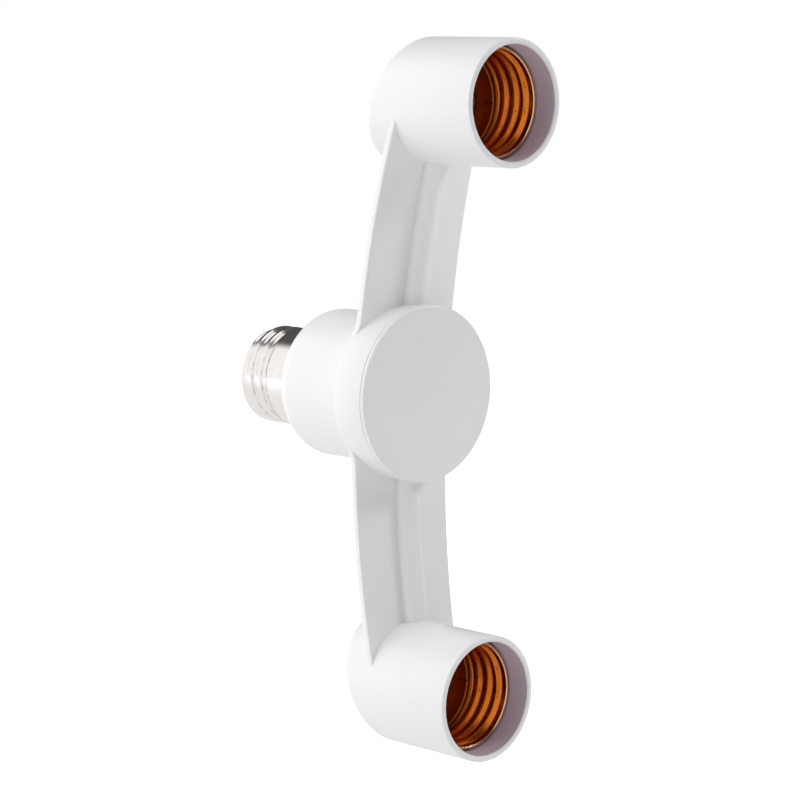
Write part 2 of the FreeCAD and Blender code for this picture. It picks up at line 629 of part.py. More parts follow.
def live_wire(side):
    x, z = leaf_rivet_place(side)
    return arm_wire(side, -1, (x - 0.3, z + side * 0.8))


def neutral_wire(side):
    x, z = shell_rivet_places(side)[0]
    return arm_wire(side, 1, (x, z))


def splice(x_side):
    """An insulated crimp sleeve, with a blind bore for two wires in front and one for a lead behind."""
    front = DRUM_REAR_Y + SPLICE_REACH
    rear = front + SPLICE_LENGTH
    x = x_side * SPLICE_X
    points = [(0, front), (SPLICE_R, front), (SPLICE_R, rear), (SPLICE_R - 0.4, rear + 0.4), (0, rear + 0.4)]
    body = turned(points, x)
    bore_depth = SPLICE_REACH + SLIDE_FIT
    bore_r, middle = WIRE_R + SLIDE_FIT, WIRE_SPACING / 2
    y0, y1 = front - 1, front + bore_depth
    slot = box(x - bore_r, x + bore_r, y0, y1, -middle, middle)
    slot = slot.fuse([cylinder(bore_r, y0, y1, x, z) for z in (-middle, middle)])
    return body.cut([slot, cylinder(bore_r, rear - bore_depth, rear + 1, x)])


def lead_start():
    return DRUM_REAR_Y + SPLICE_REACH + SPLICE_LENGTH - SPLICE_REACH


def lead_end():
    """Where the neutral lead is soldered, halfway between the spigot and the insulator."""
    return (SPIGOT_LENGTH + SHELL_LENGTH - SHEET - INSULATOR_FLANGE) / 2


def live_lead():
    tip = CAP_LENGTH - TIP_HEIGHT - 2
    points = [(-SPLICE_X, lead_start(), 0), (-SPLICE_X, -5, 0), (0, 6, 0), (0, tip, 0)]
    return wire(points, 8.0)


def neutral_lead():
    solder_x = CAP_MAJOR_R - THREAD_DEPTH - SHEET - WIRE_R - FIT
    spigot_x = CAP_MAJOR_R - SHEET - SLIDE_FIT - SPIGOT_WALL - WIRE_R - FIT
    points = [(SPLICE_X, lead_start(), 0), (SPLICE_X, -5, 0), (spigot_x, 2, 0), (spigot_x, SPIGOT_LENGTH, 0)]
    points += [(solder_x, (SPIGOT_LENGTH + lead_end()) / 2, 0), (solder_x, lead_end(), 0)]
    return wire(points, 4.0)


def neutral_solder():
    """The solder that joins the end of the neutral lead to the inside of the screw shell."""
    inner_r = CAP_MAJOR_R - THREAD_DEPTH - SHEET - SLIDE_FIT
    wire_x = inner_r - WIRE_R - FIT + SLIDE_FIT
    end_y = lead_end()
    blob = Part.makeSphere(1.9 * WIRE_R, Vector(wire_x, end_y + 0.3, 0))
    blob = blob.common(cylinder(inner_r, end_y - 3, end_y + 4))
    return blob.cut(cylinder(WIRE_R + SLIDE_FIT, end_y - 4, end_y + SLIDE_FIT, wire_x))


NODES = {
    "housing": housing,
    "hub_cap": hub_cap,
    "screw_shell": screw_shell,
    "base_insulator": base_insulator,
    "tip_contact": tip_contact,
    "live_lead": live_lead,
    "neutral_lead": neutral_lead,
    "live_splice": lambda: splice(-1),
    "neutral_splice": lambda: splice(1),
    "neutral_solder": neutral_solder,
}

SIDE_NODES = {
    "socket_shell": socket_shell,
    "socket_base": socket_base,
    "base_screws": base_screws,
    "shell_rivets": shell_rivets,
    "contact_rivet": contact_rivet,
    "contact_leaf": contact_leaf,
    "contact_button": contact_button,
    "live_wire": live_wire,
    "neutral_wire": neutral_wire,
    "duct_cover": duct_cover,
}

os.makedirs("parts", exist_ok=True)
for name, make in NODES.items():
    make().exportStep(f"parts/{name}.step")
for name, make in SIDE_NODES.items():
    for place, side in SIDES.items():
        make(side).exportStep(f"parts/{name}_{place}.step")
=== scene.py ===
"""Dresses the lamp socket adapter: moulded plastic, rolled threaded shells, and the studio around them."""
import math
from types import SimpleNamespace
from typing import NamedTuple

import bmesh
import bpy
from mathutils import Matrix, Vector


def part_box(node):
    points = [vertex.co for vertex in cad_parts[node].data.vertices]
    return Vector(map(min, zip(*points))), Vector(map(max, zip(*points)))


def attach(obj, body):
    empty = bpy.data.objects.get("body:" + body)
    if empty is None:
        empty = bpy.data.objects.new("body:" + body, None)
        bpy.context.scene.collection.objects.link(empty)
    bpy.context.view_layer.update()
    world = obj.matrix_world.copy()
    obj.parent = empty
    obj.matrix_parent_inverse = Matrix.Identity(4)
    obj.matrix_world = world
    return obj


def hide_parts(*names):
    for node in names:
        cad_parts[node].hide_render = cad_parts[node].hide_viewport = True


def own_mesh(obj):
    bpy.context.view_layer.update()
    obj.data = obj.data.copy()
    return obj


bl_info = {
    "name": "Lamp socket adapter",
    "version": (1, 0, 0),
    "blender": (4, 5, 0),
    "location": "View3D > Sidebar > Adapter",
    "description": "Builds the moulding, the threaded shells and the studio of a two-lamp socket adapter",
    "category": "Object",
}

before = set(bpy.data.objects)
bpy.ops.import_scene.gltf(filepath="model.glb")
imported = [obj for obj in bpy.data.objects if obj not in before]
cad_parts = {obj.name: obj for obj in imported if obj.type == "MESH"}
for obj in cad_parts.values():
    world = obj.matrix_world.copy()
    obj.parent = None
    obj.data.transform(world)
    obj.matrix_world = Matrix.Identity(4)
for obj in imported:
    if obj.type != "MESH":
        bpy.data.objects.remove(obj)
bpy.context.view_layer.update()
MM = 0.001
SIDES = {"top": 1, "bottom": -1}

# Small sizes that the pieces share and no user would change

WALL = 2.0 * MM  # plastic around the hollows of the hub and behind a cup
PAST = 1.0 * MM  # how far a cutting form runs past the face that it opens
FIT = 0.15 * MM  # room around a part that is pushed in
SEAM_GAP = 0.25 * MM  # from the seam to the drum, and from the seam to the disc
DISC_EDGE = 1.45 * MM  # from the disc's face to the seam
PLATE_SINK = 0.3 * MM  # how far the crowned plate's edges would reach behind the drum
PLATE_STEP = 0.01 * MM  # how far they are kept in front of the drum's rear
SPIGOT_LENGTH = 9.0 * MM  # of the collar that carries the screw shell
CUP_LENGTH = 35.85 * MM  # from a cup's rim to its back, on its axis
CUP_PAST = 12.0 * MM  # how far a cup's forms run past its back until they are cut to its slope
BACK_SLOPE = 0.333  # of a cup's back
MERGE = 1e-7  # points nearer than this are one


class MouldingSizes(bpy.types.PropertyGroup):
    """Sizes and colour of the white plastic parts."""

    drum_r: bpy.props.FloatProperty(
        name="Drum radius",
        description="Outside radius of the hub's drum",
        default=22.9 * MM,
        unit="LENGTH",
    )
    barrel_r: bpy.props.FloatProperty(
        name="Barrel radius",
        description="Outside radius of the barrel behind the drum",
        default=19.6 * MM,
        unit="LENGTH",
    )
    barrel_length: bpy.props.FloatProperty(
        name="Barrel length",
        description="From the drum to the barrel's end",
        default=27.6 * MM,
        unit="LENGTH",
    )
    end_round: bpy.props.FloatProperty(
        name="Barrel rounding",
        description="Radius of the barrel's rounded end",
        default=6.0 * MM,
        unit="LENGTH",
    )
    disc_r: bpy.props.FloatProperty(
        name="Disc radius",
        description="Radius of the front disc",
        default=23.1 * MM,
        unit="LENGTH",
    )
    bow_r: bpy.props.FloatProperty(
        name="Bow radius",
        description="Radius of the back plate's bow",
        default=280.0 * MM,
        unit="LENGTH",
    )
    plate: bpy.props.FloatProperty(
        name="Plate thickness",
        description="Thickness of the back plate",
        default=1.9 * MM,
        unit="LENGTH",
    )
    crown: bpy.props.FloatProperty(
        name="Plate crown",
        description="How far the plate's middle stands in front of its edges",
        default=1.95 * MM,
        unit="LENGTH",
    )
    plate_half: bpy.props.FloatProperty(
        name="Plate half width",
        description="Half the width of the back plate at the hub",
        default=16.7 * MM,
        unit="LENGTH",
    )
    plate_end: bpy.props.FloatProperty(
        name="Plate end half width",
        description="Half the width of the back plate at a cup's axis",
        default=15.3 * MM,
        unit="LENGTH",
    )
    flare: bpy.props.FloatProperty(
        name="Plate flare",
        description="Radius of the plate's corners at the drum",
        default=8.0 * MM,
        unit="LENGTH",
    )
    rib_r: bpy.props.FloatProperty(
        name="Duct radius",
        description="Outside radius of the half-round wire duct",
        default=3.5 * MM,
        unit="LENGTH",
    )
    cup_z: bpy.props.FloatProperty(
        name="Cup distance",
        description="From the hub's axis to a cup's axis",
        default=75.5 * MM,
        unit="LENGTH",
    )
    cup_r: bpy.props.FloatProperty(
        name="Cup radius",
        description="Outside radius of a socket cup",
        default=16.3 * MM,
        unit="LENGTH",
    )
    cup_wall: bpy.props.FloatProperty(
        name="Cup wall",
        description="Wall thickness of a socket cup",
        default=1.6 * MM,
        unit="LENGTH",
    )
    plastic: bpy.props.FloatVectorProperty(
        name="Plastic",
        description="Colour of the moulded plastic",
        default=(0.86, 0.86, 0.865),
        subtype="COLOR",
        min=0,
        max=1,
    )


class ShellSizes(bpy.types.PropertyGroup):
    """Sizes and colours of the threaded shells."""

    pitch: bpy.props.FloatProperty(
        name="Pitch",
        description="Height of one turn of the thread",
        default=3.629 * MM,
        unit="LENGTH",
        precision=4,
    )
    depth: bpy.props.FloatProperty(
        name="Thread depth",
        description="From the thread's root to its crest",
        default=1.07 * MM,
        unit="LENGTH",
        precision=4,
    )
    sheet: bpy.props.FloatProperty(
        name="Sheet",
        description="Thickness of the rolled sheet",
        default=0.4 * MM,
        unit="LENGTH",
        precision=4,
    )
    cap_r: bpy.props.FloatProperty(
        name="Screw cap radius",
        description="Radius of the screw cap's collar",
        default=13.2 * MM,
        unit="LENGTH",
    )
    lamp_r: bpy.props.FloatProperty(
        name="Socket thread radius",
        description="Smallest radius of a socket's thread",
        default=12.25 * MM,
        unit="LENGTH",
    )
    nickel: bpy.props.FloatVectorProperty(
        name="Nickel",
        description="Colour of the screw shell",
        default=(0.91, 0.87, 0.85),
        subtype="COLOR",
        min=0,
        max=1,
    )
    copper: bpy.props.FloatVectorProperty(
        name="Copper",
        description="Colour of the socket shells",
        default=(0.64, 0.17, 0.022),
        subtype="COLOR",
        min=0,
        max=1,
    )


# Finishes


def group(name, inputs, outputs):
    """A new shader node group with float (f) or colour (c) sockets."""
    tree = bpy.data.node_groups.new(name, "ShaderNodeTree")
    kinds = {"f": "NodeSocketFloat", "c": "NodeSocketColor"}
    for label, kind, value in inputs:
        socket = tree.interface.new_socket(name=label, in_out="INPUT", socket_type=kinds[kind])
        socket.default_value = value
    for label, kind in outputs:
        tree.interface.new_socket(name=label, in_out="OUTPUT", socket_type=kinds[kind])
    return tree, tree.nodes.new("NodeGroupInput"), tree.nodes.new("NodeGroupOutput")


def add(tree, kind, links=None, **values):
    """A node with its settings, and its sockets linked or set by name or number."""
    node = tree.nodes.new(kind)
    for key, value in values.items():
        setattr(node, key, value)
    for key, value in (links or {}).items():
        if isinstance(value, bpy.types.NodeSocket):
            tree.links.new(value, node.inputs[key])
        else:
            node.inputs[key].default_value = value
    return node


def maths(tree, operation, *values):
    """The result of a Math node on numbers and sockets."""
    return add(tree, "ShaderNodeMath", dict(enumerate(values)), operation=operation).outputs[0]


def spread(tree, value, given, wanted):
    """A socket's value, brought from the range given to the range wanted."""
    ends = dict(zip(("From Min", "From Max", "To Min", "To Max"), (*given, *wanted)))
    return add(tree, "ShaderNodeMapRange", {"Value": value, **ends}).outputs["Result"]


def mottle_group():
    """Slow changes of tone and gloss, and a fine grain for the bump."""
    tree, given, out = group(
        "surface mottle",
        [
            ("Colour", "c", (1, 1, 1, 1)),
            ("Tone", "f", 0.02),
            ("Gloss", "f", 0.3),
            ("Gloss change", "f", 0.05),
            ("Patch size", "f", 60.0),
            ("Grain size", "f", 1500.0),
        ],
        [("Colour", "c"), ("Roughness", "f"), ("Grain", "f")],
    )
    value = given.outputs
    where = add(tree, "ShaderNodeTexCoord").outputs["Object"]
    look = {"Vector": where, "Scale": value["Patch size"], "Detail": 3.0, "Roughness": 0.6}
    patches = add(tree, "ShaderNodeTexNoise", look)
    grain = add(tree, "ShaderNodeTexNoise", {"Vector": where, "Scale": value["Grain size"], "Detail": 2.0})
    centred = maths(tree, "SUBTRACT", patches.outputs["Fac"], 0.5)
    tone = maths(tree, "MULTIPLY_ADD", centred, value["Tone"], 1.0)
    toned = {0: value["Colour"], "Scale": tone}
    colour = add(tree, "ShaderNodeVectorMath", toned, operation="SCALE").outputs[0]
    gloss = maths(tree, "MULTIPLY_ADD", centred, value["Gloss change"], value["Gloss"])
    tree.links.new(colour, out.inputs["Colour"])
    tree.links.new(gloss, out.inputs["Roughness"])
    tree.links.new(grain.outputs["Fac"], out.inputs["Grain"])
    return tree


def rolled_group():
    """Fine marks that run round an axis along Y, as rolling and turning leave them."""
    inputs = [("Across", "f", 900.0), ("Around", "f", 6.0)]
    tree, given, out = group("rolling marks", inputs, [("Marks", "f")])
    where = add(tree, "ShaderNodeTexCoord").outputs["Object"]
    parts = add(tree, "ShaderNodeSeparateXYZ", {0: where}).outputs
    along = maths(tree, "MULTIPLY", parts["Y"], given.outputs["Across"])
    x = maths(tree, "MULTIPLY", parts["X"], given.outputs["Around"])
    z = maths(tree, "MULTIPLY", parts["Z"], given.outputs["Around"])
    stretched = add(tree, "ShaderNodeCombineXYZ", {0: x, 1: along, 2: z}).outputs[0]
    look = {"Vector": stretched, "Scale": 1.0, "Detail": 4.0, "Roughness": 0.65}
    tree.links.new(add(tree, "ShaderNodeTexNoise", look).outputs["Fac"], out.inputs["Marks"])
    return tree


# The shared effects that are made already, by the function that makes them
GROUPS = {}


def placed(tree, maker, values):
    """One of the shared effects, made once and placed in a material with its own values."""
    if maker not in GROUPS:
        GROUPS[maker] = maker()
    node = tree.nodes.new("ShaderNodeGroup")
    node.node_tree = GROUPS[maker]
    for key, value in values.items():
        node.inputs[key].default_value = value
    return node


def finish(name, colour, tone, gloss, change, patch, grain=1500.0, bump=0.01 * MM, marks=None, metallic=0.0):
    """A material that varies its colour by tone and its gloss by change, with rolling marks where given."""
    material = bpy.data.materials.new(name)
    material.use_nodes = True
    tree = material.node_tree
    shader = tree.nodes["Principled BSDF"]
    shader.inputs["Metallic"].default_value = metallic
    look = {"Tone": tone, "Gloss": gloss, "Gloss change": change, "Patch size": patch, "Grain size": grain}
    mottle = placed(tree, mottle_group, {"Colour": (*colour, 1), **look})
    height = mottle.outputs["Grain"]
    if marks:
        height = maths(tree, "ADD", height, placed(tree, rolled_group, {"Across": marks}).outputs["Marks"])
    relief = add(tree, "ShaderNodeBump", {"Height": height, "Distance": bump, "Strength": 1.0})
    tree.links.new(mottle.outputs["Colour"], shader.inputs["Base Color"])
    tree.links.new(mottle.outputs["Roughness"], shader.inputs["Roughness"])
    tree.links.new(relief.outputs["Normal"], shader.inputs["Normal"])


def metal(name, colour, tone, gloss, change, patch, **values):
    """A bare or plated metal."""
    finish(name, colour, tone, gloss, change, patch, metallic=1.0, **values)


def materials():
    """Every finish of the object by name, made on the first call."""
    if "white plastic" not in bpy.data.materials:
        moulding, shells = bpy.context.scene.adapter_moulding, bpy.context.scene.adapter_shells
        fine = {"grain": 2500.0, "bump": 0.004 * MM}
        faint, soft, coarse = 0.006 * MM, 0.008 * MM, 0.02 * MM
        # The deep part of each socket shell is copper darkened by this factor: painted shade in the depth of
        # the socket.
        deep_shade = 0.55
        floor = tuple(value * deep_shade for value in shells.copper)
        finish("white plastic", moulding.plastic, tone=0.02, gloss=0.34, change=0.10, patch=35.0, **fine)
        # The bores of the cups get a darker purple-grey plastic: painted shade inside the cups.
        finish("shaded bore", (0.66, 0.57, 0.66), tone=0.03, gloss=0.40, change=0.10, patch=60.0, **fine)
        metal("nickel plate", shells.nickel, tone=0.12, gloss=0.18, change=0.15, patch=220.0, marks=2400.0)
        metal("copper plate", shells.copper, tone=0.25, gloss=0.26, change=0.18, patch=180.0, marks=2200.0)
        # The lip of each socket shell gets a lighter, paler copper: a painted highlight along the lip.
        metal("copper edge", (0.80, 0.46, 0.27), tone=0.15, gloss=0.25, change=0.1, patch=300.0, bump=faint)
        metal("copper floor", floor, tone=0.3, gloss=0.42, change=0.2, patch=250.0)
        metal("brass", (0.66, 0.47, 0.20), tone=0.15, gloss=0.28, change=0.2, patch=400.0, bump=soft)
        metal("silver contact", (0.72, 0.70, 0.66), tone=0.1, gloss=0.3, change=0.2, patch=600.0, bump=soft)
        metal("zinc steel", (0.50, 0.50, 0.52), tone=0.1, gloss=0.35, change=0.2, patch=500.0, bump=soft)
        metal("solder", (0.52, 0.52, 0.54), tone=0.12, gloss=0.42, change=0.2, patch=600.0, bump=coarse)
        black = (0.018, 0.018, 0.02)
        finish("black plastic", black, tone=0.2, gloss=0.32, change=0.15, patch=150.0, bump=soft)
        finish("brown base", (0.055, 0.035, 0.028), tone=0.3, gloss=0.38, change=0.15, patch=200.0)
        finish("splice sleeve", (0.72, 0.70, 0.60), tone=0.05, gloss=0.4, change=0.1, patch=150.0)
        finish("brown wire", (0.13, 0.055, 0.025), tone=0.1, gloss=0.42, change=0.1, patch=200.0)
        finish("blue wire", (0.03, 0.09, 0.33), tone=0.1, gloss=0.42, change=0.1, patch=200.0)
    return {material.name: material for material in bpy.data.materials}


# Shaping


def outline(bm, points):
    """A closed wire through (x, y) points, in the plane z = 0."""
    verts = [bm.verts.new((x, y, 0)) for x, y in points]
    return [bm.edges.new(pair) for pair in zip(verts, verts[1:] + verts[:1])]


def ring(bm, radius, y):
    """The edges of the circle of this radius about Y, at this y."""
    tolerance = 2e-6

    def on_it(v):
        return math.dist((math.hypot(v.co.x, v.co.z), v.co.y), (radius, y)) < tolerance

    return [e for e in bm.edges if all(on_it(v) for v in e.verts)]


def rounded(bm, geom, offset, segments, affect="EDGES"):
    """Rounds edges or corners of a form."""
    shape = {"offset_type": "OFFSET", "profile": 0.5, "clamp_overlap": False, "material": -1}
    bmesh.ops.bevel(bm, geom=geom, offset=offset, segments=segments, affect=affect, **shape)


def turned(bm, steps):
    """Turns a wire once round Y and closes the form that comes of it."""
    geom = bm.verts[:] + bm.edges[:]
    turn = {"cent": (0, 0, 0), "axis": (0, 1, 0), "dvec": (0, 0, 0), "angle": 2 * math.pi}
    bmesh.ops.spin(bm, geom=geom, steps=steps, use_merge=True, **turn)
    bmesh.ops.remove_doubles(bm, verts=bm.verts, dist=MERGE)


def lathed(points, rounds=(), steps=128):
    """A closed form turned about Y from an outline of (radius, y) points, with some circles rounded.

    Each of rounds is the number of a point in the outline, a radius and a number of segments.
    """
    bm = bmesh.new()
    axis_edges = [e for e in outline(bm, points) if all(v.co.x < MERGE for v in e.verts)]
    bmesh.ops.delete(bm, geom=axis_edges, context="EDGES")
    turned(bm, steps)
    bmesh.ops.recalc_face_normals(bm, faces=bm.faces)
    for index, offset, segments in rounds:
        rounded(bm, ring(bm, *points[index]), offset, segments)
    return bm


def cylinder(radius, front, rear, rounds=(), steps=128):
    return lathed([(0, front), (radius, front), (radius, rear), (0, rear)], rounds, steps)


def moved(bm, offset):
    bmesh.ops.translate(bm, verts=bm.verts, vec=offset)
    return bm


def bowed(points, z0, z1, steps):
    """An outline of (x, y) points swept along the plate's bow, from z0 to z1, with its ends closed."""
    bow_r, centre = bpy.context.scene.adapter_moulding.bow_r, Vector((0, plan().bow_centre, 0))
    bm = bmesh.new()
    outline(bm, points)
    a0, a1 = math.asin(z0 / bow_r), math.asin(z1 / bow_r)
    bmesh.ops.rotate(bm, verts=bm.verts, cent=centre, matrix=Matrix.Rotation(a0, 3, "X"))
    sweep = {"cent": centre, "axis": (1, 0, 0), "dvec": (0, 0, 0), "angle": a1 - a0}
    bmesh.ops.spin(bm, geom=bm.verts[:] + bm.edges[:], steps=steps, use_merge=False, **sweep)
    bmesh.ops.holes_fill(bm, edges=[e for e in bm.edges if e.is_boundary], sides=0)
    bmesh.ops.recalc_face_normals(bm, faces=bm.faces)
    return bm


def slanted(bm, side, back):
    """Ends a form with the slanted plane that meets a cup's axis at back, and gives that end's edges."""
    geom = bm.verts[:] + bm.edges[:] + bm.faces[:]
    place = (0, back, side * bpy.context.scene.adapter_moulding.cup_z)
    plane = {"plane_co": place, "plane_no": Vector((0, 1, side * BACK_SLOPE)).normalized()}
    cut = bmesh.ops.bisect_plane(bm, geom=geom, dist=MERGE, clear_outer=True, **plane)
    end_edges = [e for e in cut["geom_cut"] if isinstance(e, bmesh.types.BMEdge)]
    bmesh.ops.holes_fill(bm, edges=end_edges, sides=0)
    bmesh.ops.recalc_face_normals(bm, faces=bm.faces)
    return [e for e in bm.edges if e in set(end_edges)]


def form(bm, name="form"):
    """A new object of a bmesh."""
    mesh = bpy.data.meshes.new(name)
    bm.to_mesh(mesh)
    bm.free()
    obj = bpy.data.objects.new(name, mesh)
    bpy.context.scene.collection.objects.link(obj)
    return obj


def smooth(mesh, sharp=35):
    """Shades a mesh smooth but for edges that turn by more than so many degrees."""
    mesh.shade_smooth()
    mesh.set_sharp_from_angle(angle=math.radians(sharp))


def piece(name, bm, material, node):
    """A finished object on the adapter's body, in place of a node."""
    obj = form(bm, name)
    obj.data.materials.append(material)
    smooth(obj.data)
    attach(obj, "adapter")
    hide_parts(node)
    return obj


def combined(base, forms, operation):
    """Joins an object with some forms, or cuts them out of it."""
    others = [form(bm) for bm in forms]
    for other in others:
        modifier = base.modifiers.new(operation.lower(), "BOOLEAN")
        modifier.operation = operation
        modifier.solver = "MANIFOLD"
        modifier.object = other
    bpy.context.view_layer.update()
    mesh = bpy.data.meshes.new_from_object(base.evaluated_get(bpy.context.evaluated_depsgraph_get()))
    base.modifiers.clear()
    old, base.data = base.data, mesh
    bpy.data.meshes.remove(old)
    for other in others:
        data = other.data
        bpy.data.objects.remove(other)
        bpy.data.meshes.remove(data)


def plan():
    """Places along Y that several pieces share, from the sizes and the frame."""
    m = bpy.context.scene.adapter_moulding
    drum_rear = -m.barrel_length
    plate_rear = drum_rear + PLATE_SINK - m.crown
    disc_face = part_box("hub_cap")[0].y
    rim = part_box("housing")[0].y
    base_front, base_rear = (corner.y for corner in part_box("socket_base_top"))
    return SimpleNamespace(
        drum_rear=drum_rear,
        disc_face=disc_face,
        seam=disc_face + DISC_EDGE,
        plate_front=plate_rear - m.plate,
        plate_rear=plate_rear,
        bow_centre=plate_rear - m.plate / 2 - m.bow_r,
        rim=rim,
        mouth=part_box("socket_shell_top")[0].y,
        base_front=base_front,
        base_rear=base_rear,
        back=rim + CUP_LENGTH,
    )


# Housing and disc


def hub_form():
    """The outside of drum and barrel, with the seat of the screw shell and the spigot that carries it."""
    m, p = bpy.context.scene.adapter_moulding, plan()
    front, end = p.seam + SEAM_GAP, SPIGOT_LENGTH
    seat_r, seat, spigot_r = 13.5 * MM, -0.5 * MM, 12.75 * MM
    points = [(0, front), (m.drum_r, front), (m.drum_r, p.drum_rear), (m.barrel_r, p.drum_rear)]
    points += [(m.barrel_r, 0), (seat_r, 0), (seat_r, seat), (spigot_r, seat), (spigot_r, end), (0, end)]
    front_edge, rear_edge, barrel_end = (1, 0.3 * MM, 3), (2, 0.6 * MM, 4), (4, m.end_round, 16)
    return lathed(points, [front_edge, rear_edge, barrel_end], steps=160)


def hub_hollow():
    """The inside of the drum, the barrel and the spigot."""
    m, p = bpy.context.scene.adapter_moulding, plan()
    drum, barrel, spigot = m.drum_r - WALL, m.barrel_r - WALL, 11.25 * MM
    front, step, end = p.seam - PAST, p.drum_rear - WALL, SPIGOT_LENGTH + PAST
    points = [(0, front), (drum, front), (drum, step), (barrel, step), (barrel, -WALL)]
    points += [(spigot, -WALL), (spigot, end), (0, end)]
    barrel_end = (4, 4.3 * MM, 8)
    return lathed(points, [barrel_end], steps=96)


def plate_half(z):
    """Half the width of the tapered plate at a distance z from the hub's axis."""
    m = bpy.context.scene.adapter_moulding
    return m.plate_half - (m.plate_half - m.plate_end) * z / m.cup_z


def plate_outline():
    """The plate's straight section at the hub, with rounded edges, before it is crowned."""
    m, p = bpy.context.scene.adapter_moulding, plan()
    half, thick, edge_r, steps = m.plate_half, m.plate / 2, 0.3 * MM, 24
    middle = p.bow_centre + m.bow_r
    turns = (0, math.pi / 6, math.pi / 3)
    edge = [(half - edge_r * (1 - math.cos(a)), thick - edge_r * (1 - math.sin(a))) for a in turns]
    flat = [((half - edge_r) * (1 - 2 * i / steps), thick) for i in range(steps + 1)]
    rear = edge + flat + [(-x, y) for x, y in reversed(edge)]
    return [(x, middle + y) for x, y in rear] + [(x, middle - y) for x, y in reversed(rear)]


def plate_form():
    """The back plate: bowed along its length, crowned across, tapered to the cups, flared at the drum."""
    m, p = bpy.context.scene.adapter_moulding, plan()
    bm = bowed(plate_outline(), -m.cup_z, m.cup_z, steps=180)
    crown_r = (m.plate_half**2 + m.crown**2) / (2 * m.crown)
    # A flare's centre hangs on the taper and the taper's width on its place, so both are found in rounds
    flare_x = m.plate_half + m.flare
    for _ in range(4):
        flare_z = math.sqrt((m.drum_r + m.flare) ** 2 - flare_x**2)
        flare_x = plate_half(flare_z) + m.flare
    drum_x, drum_z = (value * m.drum_r / (m.drum_r + m.flare) for value in (flare_x, flare_z))
    for v in bm.verts:
        z = abs(v.co.z)
        if z < drum_z:
            half = drum_x
        elif z < flare_z:
            half = flare_x - math.sqrt(m.flare**2 - (z - flare_z) ** 2)
        else:
            half = plate_half(z)
        v.co.x *= half / m.plate_half
        crowned = v.co.y + crown_r - math.sqrt(crown_r**2 - v.co.x**2)
        v.co.y = min(crowned, p.drum_rear - PLATE_STEP)
    return bm


def duct_form():
    """The half-round duct along the front of the plate, sunk a little way into it."""
    m, p = bpy.context.scene.adapter_moulding, plan()
    sink, steps = 0.9 * MM, 48
    turns = [2 * math.pi * i / steps for i in range(steps)]
    points = [(m.rib_r * math.cos(a), p.plate_front + min(m.rib_r * math.sin(a), sink)) for a in turns]
    return bowed(points, -m.cup_z, m.cup_z, steps=96)


def wire_channel(side):
    """The round-bottomed channel under a duct's cover, from the barrel into the cup's chamber."""
    m, p = bpy.context.scene.adapter_moulding, plan()
    half, top, axis = 2.2 * MM, p.plate_rear - 0.7 * MM, p.plate_rear - 2.25 * MM
    bottom = [(-half * math.cos(a), axis - half * math.sin(a)) for a in (math.pi * i / 4 for i in range(5))]
    ends = side * (m.barrel_r - WALL - PAST), side * (m.cup_z - chamber_r() + PAST)
    return bowed([(-half, top)] + bottom + [(half, top)], min(ends), max(ends), steps=32)


def cover_rebate(side):
    """The rebate behind a channel that its cover lies in, from the drum to the cup."""
    m, p = bpy.context.scene.adapter_moulding, plan()
    half, seat, end = 3.55 * MM, p.plate_rear - 0.88 * MM, p.plate_rear + PAST
    points = [(-half, seat), (half, seat), (half, end), (-half, end)]
    ends = side * (m.drum_r + FIT), side * (m.cup_z - m.cup_r - FIT)
    return bowed(points, min(ends), max(ends), steps=32)


def cup_form(side):
    """The outside of a cup: round rim, straight wall, slanted back with a small rounding."""
    m, p = bpy.context.scene.adapter_moulding, plan()
    rim_edge, back_round = (1, 0.45 * MM, 4), 1.2 * MM
    bm = moved(cylinder(m.cup_r, p.rim, p.back + CUP_PAST, [rim_edge]), (0, 0, side * m.cup_z))
    rounded(bm, slanted(bm, side, p.back), back_round, 5)
    return bm


def cup_hollow(side):
    """The bore that the shell and its base sit in, a little wider at the rim's soft edge."""
    m, p = bpy.context.scene.adapter_moulding, plan()
    bore, soft, front = m.cup_r - m.cup_wall, 0.35 * MM, p.rim - PAST
    points = [(0, front), (bore + soft + PAST, front), (bore, p.rim + soft)]
    points += [(bore, p.base_rear), (0, p.base_rear)]
    return moved(lathed(points), (0, 0, side * m.cup_z))


def chamber_r():
    """Radius of the chamber behind a socket's base, which rests on the ledge round it."""
    m = bpy.context.scene.adapter_moulding
    ledge = 1.5 * MM
    return m.cup_r - m.cup_wall - ledge


def cup_chamber(side):
    """The space for the wires behind a socket's base."""
    p, place = plan(), (0, 0, side * bpy.context.scene.adapter_moulding.cup_z)
    bm = moved(cylinder(chamber_r(), p.base_rear - PAST, p.back + CUP_PAST), place)
    slanted(bm, side, p.back - WALL)
    return bm


def screw_post(side, x):
    """A post in a cup's chamber for a screw of the base."""
    p, place = plan(), (x, 0, side * bpy.context.scene.adapter_moulding.cup_z)
    radius = 2.5 * MM
    bm = moved(cylinder(radius, p.base_rear, p.back + CUP_PAST, steps=32), place)
    slanted(bm, side, p.back - WALL / 2)
    return bm


def shade_bores(mesh):
    """Gives the bores of the cups, from rim to base, the mesh's second material, a darker purple-grey that
    is painted shade, and the rest its first.
    """
    m, p = bpy.context.scene.adapter_moulding, plan()
    bore, tolerance = m.cup_r - m.cup_wall, 0.1 * MM
    for face in mesh.polygons:
        radius = math.hypot(face.center.x, abs(face.center.z) - m.cup_z)
        in_bore = abs(radius - bore) < tolerance and p.rim < face.center.y < p.base_rear
        face.material_index = int(in_bore)


